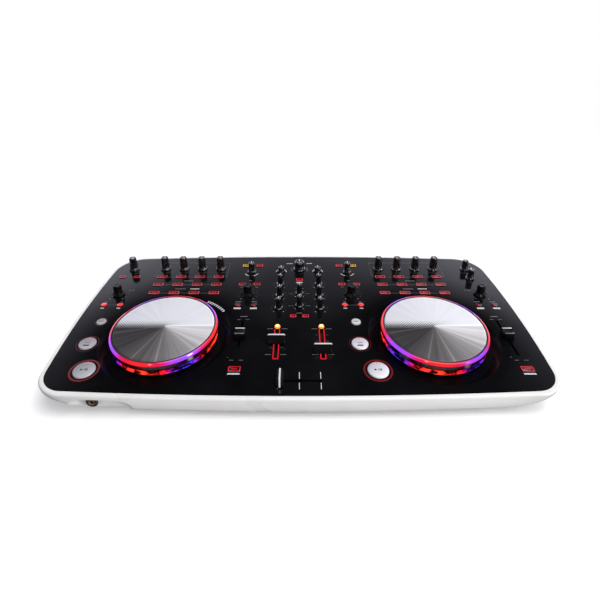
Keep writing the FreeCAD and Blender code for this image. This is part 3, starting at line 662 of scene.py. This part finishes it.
def button_sign(piece, kind):
    """Sign printed on a button's face, its underside sunk in the cap."""
    low, high = 1.1, 1.42
    if kind == "play":
        arrow = ((-4.4, -1.6), (-1.6, 0), (-4.4, 1.6))
        piece.loft([[(x, y, z) for x, y in arrow] for z in (low, high)], "dark_key")
        ink_line(piece, [(-0.6, -1.8), (0.6, 1.8)], 0.4, "dark_key", low, high)
        for x in (2.2, 3.8):
            ink_line(piece, [(x, -1.6), (x, 1.6)], 0.9, "dark_key", low, high)
    elif kind == "cue":
        ink_line(piece, [(-3.2, 0.6), (3.2, 0.6)], 1.1, "grey", low, high)
        ink_line(piece, [(-3.8, -4.2), (3.8, -4.2)], 2.0, "dark_key", low, high + 0.02)
    else:
        ink_line(piece, [(-3.4, 0), (3.4, 0)], 1.3, "grey", low, high)


def button(node):
    """Silver push button, slightly dished, with a printed sign and, on the larger ones, a lit dot."""
    kind = node.split("_")[1]
    low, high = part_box(node)
    centre = ON_PANEL @ ((low + high) / 2)
    radius = (high.x - low.x) / 2 / MM
    piece = Piece(node + "_look")
    profile = [(radius, ROOT), (radius, 0.3), (radius - 0.15, 0.8), (radius - 0.6, 1.35),
               (radius - 1.4, 1.5), (radius * 0.7, 1.38), (radius * 0.3, 1.28), (0.05, 1.26)]
    # the left deck takes the painted-shade copy and the right deck the painted-highlight copy
    piece.turned(profile, "button" if node.startswith("left") else "pale_button", 72)
    button_sign(piece, kind)
    if kind != "sync":
        piece.turned([(1.0, 1.1), (1.0, 1.56), (0.7, 1.68), (0.05, 1.7)], "bright_red", 20,
                     centre=(0, radius - 2.3))
    piece.build(node, node, (centre.x, centre.y, 0))


# ---- faders ---------------------------------------------------------------------------------------

def fader_place(node):
    """Centre of a fader's box on the panel's drawing."""
    low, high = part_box(node)
    return ON_PANEL @ ((low + high) / 2)


def cap_levels(piece, levels, corner, materials):
    """Cap from (height, length, width) levels, lowest first."""
    piece.loft([[(x, y, height) for x, y in rounded((length, width), corner, 0)]
                for height, length, width in levels], materials)


def cap_lever(piece, length, width):
    """Lever that joins a cap to its slider under the panel."""
    piece.plate((length, width), (0, 0), [(-7.9, 0), (1.2, 0)], 0.4, "cap")


def channel_cap(node, rest):
    """Narrow cap with a white line along its ridge; rest is its row on the panel."""
    piece = Piece(node + "_look")
    levels = [(1.0, 21.8, 11.4), (1.3, 22.5, 12.0), (2.8, 22.4, 11.9), (4.0, 22.0, 10.0),
              (6.0, 21.6, 7.8), (8.5, 21.2, 5.9), (10.4, 20.9, 4.6), (11.5, 20.8, 3.8), (12.0, 20.2, 3.0)]
    cap_levels(piece, levels, 1.0, "cap")
    left_end = [(-10.6, 0, 11.0), (-10.3, 0, 11.9), (-9.6, 0, 12.0)]
    right_end = [(-x, y, z) for x, y, z in left_end[::-1]]
    ridge_line(piece, left_end + right_end, 2.3, 0.12, "pointer")
    cap_lever(piece, 2, 5)
    x = MIXER_COLUMN * (-1 if node.startswith("left") else 1)
    piece.build(node, node, (x, rest, 0))


def tempo_cap(node, x, row):
    """Wide cap with two ridges and a dip between them, and painted highlights along the ridges: white on
    the rear one, grey on the front one.
    """
    piece = Piece(node + "_look")
    outline = [(-6.6, 1.0), (-7.0, 1.4), (-7.0, 3.2), (-6.2, 6.5), (-5.6, 9.6), (-5.0, 10.6), (-3.8, 10.4),
               (-1.6, 8.4), (0.0, 8.0), (1.6, 8.4), (3.8, 10.4), (5.0, 10.8), (5.6, 9.6), (6.2, 6.5),
               (7.0, 3.2), (7.0, 1.4), (6.6, 1.0)]
    rings = []
    for side, share in ((-6.8, 0.93), (-6.5, 0.985), (-6.0, 1.0), (6.0, 1.0), (6.5, 0.985), (6.8, 0.93)):
        rings.append([(side, y * share, 1 + (z - 1) * share) for y, z in outline])
    piece.loft(rings, "cap")
    # painted highlights along the ridge tops, brighter on the rear ridge
    for y, z, ridge_painted_highlight in ((5.0, 10.7, "pointer"), (-5.0, 10.5, "faint")):
        path = [(-6.2, y, z - 0.3), (-5.8, y, z), (5.8, y, z), (6.2, y, z - 0.3)]
        ridge_line(piece, path, 1.4, 0.14, ridge_painted_highlight)
    cap_lever(piece, 2, 5)
    piece.build(node, node, (x, row, 0))


def cross_cap(node):
    """Narrow cap that stands across the channel caps, with a line over its top and ends."""
    piece = Piece(node + "_look")
    levels = [(1.0, 8.4, 22.2), (1.3, 9.0, 23.0), (3.0, 8.9, 22.9), (5.0, 7.4, 21.6),
              (8.0, 5.6, 19.6), (10.4, 4.2, 17.6), (11.6, 3.4, 15.6), (12.0, 2.6, 13.6)]
    cap_levels(piece, levels, 1.2, "cap")
    slope = [(10.8, 5.0), (9.8, 8.0), (8.8, 10.4), (7.8, 11.6), (6.8, 12.0)]
    front = [(11.5, 1.4), (11.45, 3.0)] + slope
    path = [(0, -y, z) for y, z in front] + [(0, y, z) for y, z in slope[::-1]]
    ridge_line(piece, path, 1.9, 0.15, "pointer")
    cap_lever(piece, 5, 2)
    piece.build(node, node, (fader_place(node).x, CROSS_ROW, 0))


SLOT_FRONT, SLOT_REAR = 58.0, 111.0
LAMP_ROW = 117.4
GUIDE_ROOT = -2.8


def light_guides():
    """Lit lines on both sides of each channel fader's slot, and the amber lamps behind them."""
    piece = Piece("fader_lights_look")
    for side in (-1, 1):
        x = side * MIXER_COLUMN
        reach = 3.1
        line = [(x - reach, SLOT_REAR + 1.5), (x - reach, SLOT_FRONT + 0.6)]
        line += [(x - reach * 0.7, SLOT_FRONT - 0.6), (x + reach * 0.7, SLOT_FRONT - 0.6)]
        line += [(x + reach, SLOT_FRONT + 0.6), (x + reach, SLOT_REAR + 1.5)]
        ink_line(piece, line, 1.2, "red", GUIDE_ROOT, 0.35)
        for edge in (x - 4.2, x + 4.2):
            ink_line(piece, [(edge, SLOT_REAR + 0.9), (edge, SLOT_FRONT - 1.4)], 0.5, "dark_key",
                     GUIDE_ROOT, 0.2)
        piece.turned([(3.9, GUIDE_ROOT), (3.9, 0.9), (3.6, 1.6), (2.8, 2.3), (1.7, 2.7), (0.05, 2.8)],
                     ["lamp", "lamp", "lamp", "lamp_core", "lamp_core"], 36, centre=(x, LAMP_ROW))
    piece.build("case", "fader_light_guides")


# ---- jog wheels -----------------------------------------------------------------------------------

JOG_TOP = 17.0
SKIRT_TOP, SKIRT_FOOT = 11.4, -3.4
FACETS = 44


def faceted_skirt(piece):
    """Lit skirt of triangles, every second ring turned by half a facet, with a plain bore."""
    rows = ((SKIRT_TOP, 66.9, 0.0), (7.6, 67.9, 0.5), (3.4, 66.3, 0.0), (-0.4, 66.9, 0.5),
            (SKIRT_FOOT, 64.6, 0.0))
    rings = [piece.ring(circle(radius, height, FACETS, shift=shift)) for height, radius, shift in rows]
    for upper, lower, (_, _, shift) in zip(rings, rings[1:], rows):
        for index in range(FACETS):
            after = (index + 1) % FACETS
            if shift == 0:
                triangles = ((upper[index], lower[index], upper[after]),
                             (upper[after], lower[index], lower[after]))
            else:
                triangles = ((upper[index], lower[after], upper[after]),
                             (upper[index], lower[index], lower[after]))
            for triangle in triangles:
                piece.face(triangle, "skirt")
    bore = [piece.ring(circle(61.5, height, FACETS)) for height in (SKIRT_FOOT, SKIRT_TOP)]
    chain = [rings[-1], *bore, rings[0]]
    for outer, within in zip(chain, chain[1:]):
        for index in range(FACETS):
            after = (index + 1) % FACETS
            piece.face([outer[index], outer[after], within[after], within[index]], "dark_key")


def jog_wheel(side, x):
    """Lit ring that holds the disc, faceted skirt under it, and the web and hub inside."""
    piece = Piece(side + "_jog_wheel_look")
    lip = [(63.7, 14.2), (63.7, 16.2), (64.0, 16.8), (64.7, 17.0), (65.4, 16.9), (65.4, 14.2)]
    light = [(65.4, 16.5), (66.1, 16.8), (67.2, 16.3), (67.9, 15.1), (68.0, 13.4), (67.4, 11.9),
             (65.4, 11.6)]
    seat = [(60.4, 8.2), (60.4, 15.4), (64.0, 15.4), (66.2, 12.4), (66.2, 11.6), (62.5, 11.0), (62.5, 8.2)]
    for profile, material in ((lip, "dark_key"), (light, "ring"), (seat, "dark_key")):
        piece.hollow_turned(profile, material, 128)
    faceted_skirt(piece)
    hub = [(11.1, SKIRT_FOOT), (16, SKIRT_FOOT), (16, 8.0), (60.6, 8.0), (60.6, 11.0), (11.1, 11.0)]
    piece.hollow_turned(hub, "grey", 96)
    piece.build(side + "_jog", side + "_jog_wheel", (x, JOG_ROW, 0), smooth=24)


def jog_disc(side, x):
    """Flat disc with a rounded rim, a little lower than the ring's lip."""
    piece = Piece(side + "_jog_disc_look")
    piece.turned([(63.3, 15.5), (63.5, 15.8), (63.4, 16.5), (62.9, 16.85), (61.9, JOG_TOP), (60.9, 16.9),
                  (40, 16.86), (20, 16.84), (0.05, 16.83)], "disc", 160)
    piece.build(side + "_jog", side + "_jog_disc", (x, JOG_ROW, 0))


# ---- printing on the panel ------------------------------------------------------------------------

ROUND_ROW = 166.0
PAD_ROWS = (239.7, 217.7, 195.7)
LABEL_DROP = 11.1
COLUMN_PITCH = 30.2
PAIR = 11.6
TEMPO_ROW = 97.0
TEMPO_MARKS = (55, 133)
BAND_ROWS = (219.2, 188.8, 158.4)
SCALE_START, SCALE_PITCH = 64.7, 12.2
BROWSE_ROW = 263.0
LEVEL_ROW = 256.0


def bar(piece, x, y, length, width, material):
    """Printed bar where the panel would have a word."""
    piece.plate((length, width), (x, y), [(UNDER, 0), (INK, 0)], 0.3, material)


def flat_ring(piece, x, y, inner, outer, material, high=INK):
    """Printed or lit ring round a button."""
    profile = [(inner, UNDER), (inner, high), (outer, high), (outer, UNDER)]
    piece.hollow_turned(profile, material, 72, (x, y))


def dial_marks(piece, x, y, radius):
    """Eleven small dots round a knob, larger at the ends and the middle of its turn."""
    for index, at in enumerate(arc_points((x, y), radius, 90 + 140, 90 - 140, 10)):
        size, material = (0.36, "faint") if index % 5 else (0.55, "white")
        piece.turned([(size, UNDER), (size, INK), (0.05, INK)], material, 10, centre=at)


def deck_print(piece, deck, side):
    """Print of one deck; the decks are alike but for the outer column and the left wheel's scale."""
    left, right = deck - SIDE_COLUMN, deck + SIDE_COLUMN
    reach = COLUMN_PITCH * 1.5
    for row in PAD_ROWS:
        ink_line(piece, [(deck - reach, row), (deck + reach, row)], 0.4, "faint")
    frame_x, frame_top = 58.0, 283.0
    corners = [(reach, PAD_ROWS[0]), (frame_x, PAD_ROWS[0] + 1), (frame_x, frame_top)]
    ink_line(piece, [(deck - x, y) for x, y in corners] + [(deck + x, y) for x, y in corners[::-1]],
             0.45, "faint")
    bar(piece, deck, PAD_ROWS[0] - LABEL_DROP, 15, 1.3, "faint")
    bar(piece, deck - 8, PAD_ROWS[1] - LABEL_DROP, 16, 1.2, "faint")
    bar(piece, deck + 14, PAD_ROWS[1] - LABEL_DROP, 14, 1.6, "white")
    ink_line(piece, [(left - PAIR, ROUND_ROW), (left + PAIR, ROUND_ROW)], 0.4, "faint")
    for way in (-1, 1):
        bar(piece, left + way * PAIR, ROUND_ROW + 7.6, 3.6, 1.1, "faint")
        bar(piece, left + way * PAIR, ROUND_ROW - 7.6, 5.0, 2.0, "white")
        bar(piece, right + way * PAIR, ROUND_ROW + 7.8, 9.0, 1.2, "faint")
        bar(piece, right + way * PAIR, ROUND_ROW - 7.8, 10.0, 3.4, "white")
        for row in TEMPO_MARKS:
            ink_line(piece, [(right + way * 3.4, row), (right + way * 8.6, row)], 0.6, "faint")
    bar(piece, right, 139.5, 10, 1.3, "faint")
    ink_line(piece, [(right - 12, 60), (right - 10, 60)], 0.5, "faint")
    bar(piece, right, 32.8, 14.6, 2.4, "white")
    flat_ring(piece, left, SYNC_ROW, 7.4, 7.8, "deep_red")
    flat_ring(piece, left, CUE_ROW, 13.4, 14.0, "deep_red")
    flat_ring(piece, left + PLAY_SHIFT, PLAY_ROW, 15.2, 17.6, "deep_red")
    flat_ring(piece, left + PLAY_SHIFT, PLAY_ROW, 16.4, 17.0, "ember", INK + 0.02)
    # the column beside the mixer, then the one at the case's end
    knob_column, far = (right, left) if side == "left" else (left, right)
    for start in (205, 290):
        arc = arc_points((knob_column, INNER_KNOB_ROW), 11.4, start, start + 45, 10)
        ink_line(piece, arc, 1.3, "white")
    bar(piece, knob_column, 229.5, 4.5, 1.1, "faint")
    dial_marks(piece, knob_column, ENCODER_ROW, 14.6)
    for way in (-1, 1):
        bar(piece, knob_column + way * PAIR, 211.4, 5.0, 1.0, "faint")
    dial_marks(piece, far, ENCODER_ROW, 14.6)
    bar(piece, far + (15 if side == "left" else -15), 203, 9, 1.0, "faint")
    if side == "left":
        ink_line(piece, [(left - PAIR, PAD_ROWS[0]), (left + PAIR, PAD_ROWS[0])], 0.4, "faint")
        scale = (deck, JOG_ROW)
        ink_line(piece, arc_points(scale, 87.0, 38, 62, 24), 0.8, "white")
        ticks = [arc_points(scale, radius, 38.6, 61.0, 8) for radius in (83.4, 86.6)]
        for tick in zip(*ticks):
            ink_line(piece, tick, 1.9, "white")


def mixer_print(piece):
    """Print of the mixer between the decks."""
    for way in (-1, 1):
        x = way * MIXER_COLUMN
        for row in BAND_ROWS:
            dial_marks(piece, x, row, 10.6)
        for start in (98, -8):
            ink_line(piece, arc_points((x, LEVEL_ROW), 8.0, start, start + 90, 12), 1.1, "white")
        for side in (-1, 1):
            for mark in range(5):
                row = SCALE_START + SCALE_PITCH * mark
                end, width = (8.4, 0.35) if mark % 4 else (13.6, 0.7)
                ink_line(piece, [(x + side * 5.6, row), (x + side * end, row)], width, "faint")
        browse = (0, BROWSE_ROW)
        ink_line(piece, arc_points(browse, 13.2, 90 - way * 65, 90 - way * 115, 10), 1.1, "faint")
        ink_line(piece, arc_points(browse, 11.4, 90 - way * 10, 90 - way * 52, 10), 0.7, "faint")
        bar(piece, way * 16.5, 281, 10, 1.6, "white")
        for row in CENTRE_KNOB_ROWS:
            ink_line(piece, [(way * 9.5, row), (way * 16, row)], 0.5, "faint")
    for row in CENTRE_KNOB_ROWS:
        dial_marks(piece, 0, row, 9.2)
    ink_line(piece, [(-7, 207.6), (7, 207.6)], 0.5, "faint")
    bar(piece, 0, 224.6, 10, 2.2, "white")
    bar(piece, 0, 147.2, 8, 1.2, "faint")
    for x in (-25, 0, 25):
        for low, high in ((9.6, 19.2), (25.2, 35.4)):
            ink_line(piece, [(x, low), (x, high)], 0.9, "faint" if x < 0 else "white")


def panel_print():
    piece = Piece("panel_print")
    deck_print(piece, -DECK, "left")
    deck_print(piece, DECK, "right")
    mixer_print(piece)
    piece.build("case")


# ---- sockets --------------------------------------------------------------------------------------

def faced(way):
    """Turn that points a piece's own Z axis to the front or the rear."""
    return Matrix.Rotation(math.radians(90 if way < 0 else -90), 4, "X")


def mount_place(name):
    """Place on the panel's drawing and sizes of one of the record's mounts."""
    for mount in frame["record"]["mounts"]:
        if mount["name"] == name:
            return ON_PANEL @ Vector(mount["pos_m"]), mount["dims"]
    raise ValueError(f"no mount named {name}")


def socket_trim():
    """Contacts inside the headphone and microphone bores, and coloured inserts in the line sockets."""
    for name, way in (("phones", -1), ("microphone", 1)):
        place, dims = mount_place(name)
        reach = dims["length_mm"] / 2
        trim = Piece(name + "_contact")
        radius = dims["r_mm"]
        for depth in (0.2, 4.2, 7.5):
            level = reach - depth
            trim.hollow_turned([(radius - 0.55, level - 0.9), (radius - 0.55, level + 0.2),
                                (radius - 0.1, level + 0.6), (radius - 0.02, level - 1.2)], "gold", 40)
        trim.build("case", place=place, turn=faced(way))
    for name, colour in (("line_out_a", "red"), ("line_out_b", "white")):
        place, dims = mount_place(name)
        insert = Piece(name + "_insert")
        reach = dims["length_mm"] / 2
        insert.hollow_turned([(1.75, reach - 0.8), (1.75, reach + 0.05), (3.6, reach + 0.05),
                              (3.6, reach - 0.3), (3.3, reach - 0.8)], colour, 40)
        insert.build("case", place=place, turn=faced(1))


# ---- CAD pieces that stay -------------------------------------------------------------------------

KEPT = {
    "bottom_case": "hull", "top_panel": "panel", "main_board": "board", "rotary_pots": "grey",
    "slide_pots": "socket", "key_switches": "grey", "case_screws": "steel", "phones_jack": "socket",
    "rear_sockets": "socket", "jog_spindles": "steel", "jog_bearings": "steel", "rear_legs": "hull",
    "rubber_feet": "foot",
}


def paint_kept():
    """Materials for the CAD pieces that are shown as they are."""
    for node, material in KEPT.items():
        data = frame["nodes"][node].data
        data.materials.clear()
        data.materials.append(MATERIALS[material])


# ---- floor, light and camera ----------------------------------------------------------------------

def floor():
    """White floor: lifted towards white for the camera, less near the part so that painted shade greys the
    floor round it, and dark beyond the part's ends for other rays.
    """
    data = bpy.data.meshes.new("floor")
    half = 6
    corners = [(-half, -half, 0), (half, -half, 0), (half, half, 0), (-half, half, 0)]
    data.from_pydata(corners, [], [(0, 1, 2, 3)])
    ground = bpy.data.objects.new("floor", data)
    bpy.context.scene.collection.objects.link(ground)
    s = Surface("floor_white", rough=0.6, color=(0.88, 0.88, 0.88))
    lift = s.nodes.new("ShaderNodeEmission")
    path = s.nodes.new("ShaderNodeLightPath")
    length = s.nodes.new("ShaderNodeVectorMath")
    length.operation = "LENGTH"
    s.links.new(s.where, length.inputs[0])
    # painted shadow: the camera sees less lift near the part, so the floor greys round it
    far = s.ramp(s.math("MULTIPLY", length.outputs["Value"], 0.5),
                 [(0.15, (0.22,) * 3), (0.55, (0.62,) * 3)])
    s.links.new(s.math("MULTIPLY", path.outputs["Is Camera Ray"], far), lift.inputs["Strength"])
    side = s.math("MULTIPLY", s.math("ABSOLUTE", s.split()[0]), 2.0)
    bounce = s.ramp(side, [(0.50, (0.62,) * 3), (0.60, (0.25,) * 3), (0.68, (0.02,) * 3)])
    s.feed("Base Color", s.blend(path.outputs["Is Camera Ray"], bounce, s.ramp(side, [(0.0, (0.88,) * 3)])))
    both = s.nodes.new("ShaderNodeAddShader")
    s.links.new(s.shader.outputs[0], both.inputs[0])
    s.links.new(lift.outputs[0], both.inputs[1])
    s.links.new(both.outputs[0], s.nodes["Material Output"].inputs["Surface"])
    data.materials.append(s.material)


def world():
    """White for the camera, and soft light that is brighter on the right.

    Gloss sees it bright behind the part and at its sides, up to 40 degrees, and dark overhead.
    """
    scene_world = bpy.data.worlds.new("studio")
    bpy.context.scene.world = scene_world
    scene_world.use_nodes = True
    nodes, links = scene_world.node_tree.nodes, scene_world.node_tree.links
    nodes.clear()
    output = nodes.new("ShaderNodeOutputWorld")
    path = nodes.new("ShaderNodeLightPath")
    shades = []
    for strength in (0.55, 1.0, 1.0):
        shade = nodes.new("ShaderNodeBackground")
        shade.inputs["Strength"].default_value = strength
        shades.append(shade)
    soft, gloss, white = shades
    where = nodes.new("ShaderNodeTexCoord")
    split = nodes.new("ShaderNodeSeparateXYZ")
    links.new(where.outputs["Generated"], split.inputs[0])

    def ramp(source, stops):
        return ramp_node(nodes, links, source, [(place, (value * 0.95, value * 0.95, value))
                                                for place, value in stops])

    def number(operation, first, second):
        node = nodes.new("ShaderNodeMath")
        node.operation = operation
        links.new(first, node.inputs[0])
        node.inputs[1].default_value = second
        node.inputs[2].default_value = second
        return node.outputs[0]

    height = ramp(split.outputs[2], ((0.0, 1.5), (0.60, 1.4), (0.69, 0.45), (0.78, 0.05), (1.0, 0.02)))
    depth = ramp(number("MULTIPLY_ADD", split.outputs[1], 0.5), ((0.30, 0.06), (0.62, 0.10), (0.80, 1.0)))
    aside = ramp(number("ABSOLUTE", split.outputs[0], 0), ((0.0, 0.9), (0.2, 1.1), (0.45, 1.9)))
    flat = product_node(nodes, links, height, depth)
    links.new(product_node(nodes, links, flat, aside), gloss.inputs["Color"])
    sides = ramp(number("MULTIPLY_ADD", split.outputs[0], 0.5), ((0.15, 0.25), (0.40, 0.9), (0.75, 1.5)))
    links.new(sides, soft.inputs["Color"])
    white.inputs["Color"].default_value = (1, 1, 1, 1)
    shown = soft.outputs[0]
    for ray, shade in (("Is Glossy Ray", gloss), ("Is Camera Ray", white)):
        mix = nodes.new("ShaderNodeMixShader")
        links.new(path.outputs[ray], mix.inputs[0])
        links.new(shown, mix.inputs[1])
        links.new(shade.outputs[0], mix.inputs[2])
        shown = mix.outputs[0]
    links.new(shown, output.inputs["Surface"])


def lamp(name, place, aim, size, power):
    """Soft rectangular light; size in metres and power in watts."""
    data = bpy.data.lights.new(name, "AREA")
    data.shape = "RECTANGLE"
    data.size, data.size_y = size
    data.energy = power
    thing = bpy.data.objects.new(name, data)
    bpy.context.scene.collection.objects.link(thing)
    thing.location = place
    thing.rotation_euler = (Vector(aim) - Vector(place)).to_track_quat("-Z", "Y").to_euler()


def camera():
    """Camera in front of the panel's centre, looking down at it."""
    data = bpy.data.cameras.new("view")
    thing = bpy.data.objects.new("view", data)
    bpy.context.scene.collection.objects.link(thing)
    bpy.context.scene.camera = thing
    distance, height, dip = 349.5, 385.0, math.radians(25.94)
    turn = PANEL.to_3x3().normalized()
    ahead = turn @ Vector((0, math.cos(dip), -math.sin(dip)))
    thing.location = PANEL @ Vector((0, -distance, height))
    thing.rotation_euler = ahead.to_track_quat("-Z", "Y").to_euler()
    data.lens = 26.07
    data.sensor_width = 36
    data.shift_x = 0.001
    data.shift_y = -0.130
    data.clip_start = 0.01


# ---- assembly -------------------------------------------------------------------------------------

paint_kept()
for node in sorted(frame["nodes"]):
    if node.endswith("encoder") or "knob" in node:
        knob(node)
    elif node.endswith("_keys"):
        key_group(node)
    elif node.endswith("_button"):
        button(node)
for side, x in (("left", -DECK), ("right", DECK)):
    jog_wheel(side, x)
    jog_disc(side, x)
    tempo_cap(side + "_tempo_fader", x + SIDE_COLUMN, TEMPO_ROW)
channel_cap("left_channel_fader", 88.0)
channel_cap("right_channel_fader", 71.0)
cross_cap("crossfader")
light_guides()
panel_print()
socket_trim()
floor()
world()
lamp("key_light", (0.5, -0.35, 1.9), (0, 0, 0.05), (1.9, 1.4), 27)
lamp("left_strip", (-0.8, -2.3, 0.42), (0, 0, 0.05), (0.14, 0.55), 3.5)
lamp("right_strip", (2.0, -1.5, 0.45), (0, 0, 0.05), (0.40, 0.55), 30)
camera()
bpy.context.scene.view_settings.view_transform = "Standard"
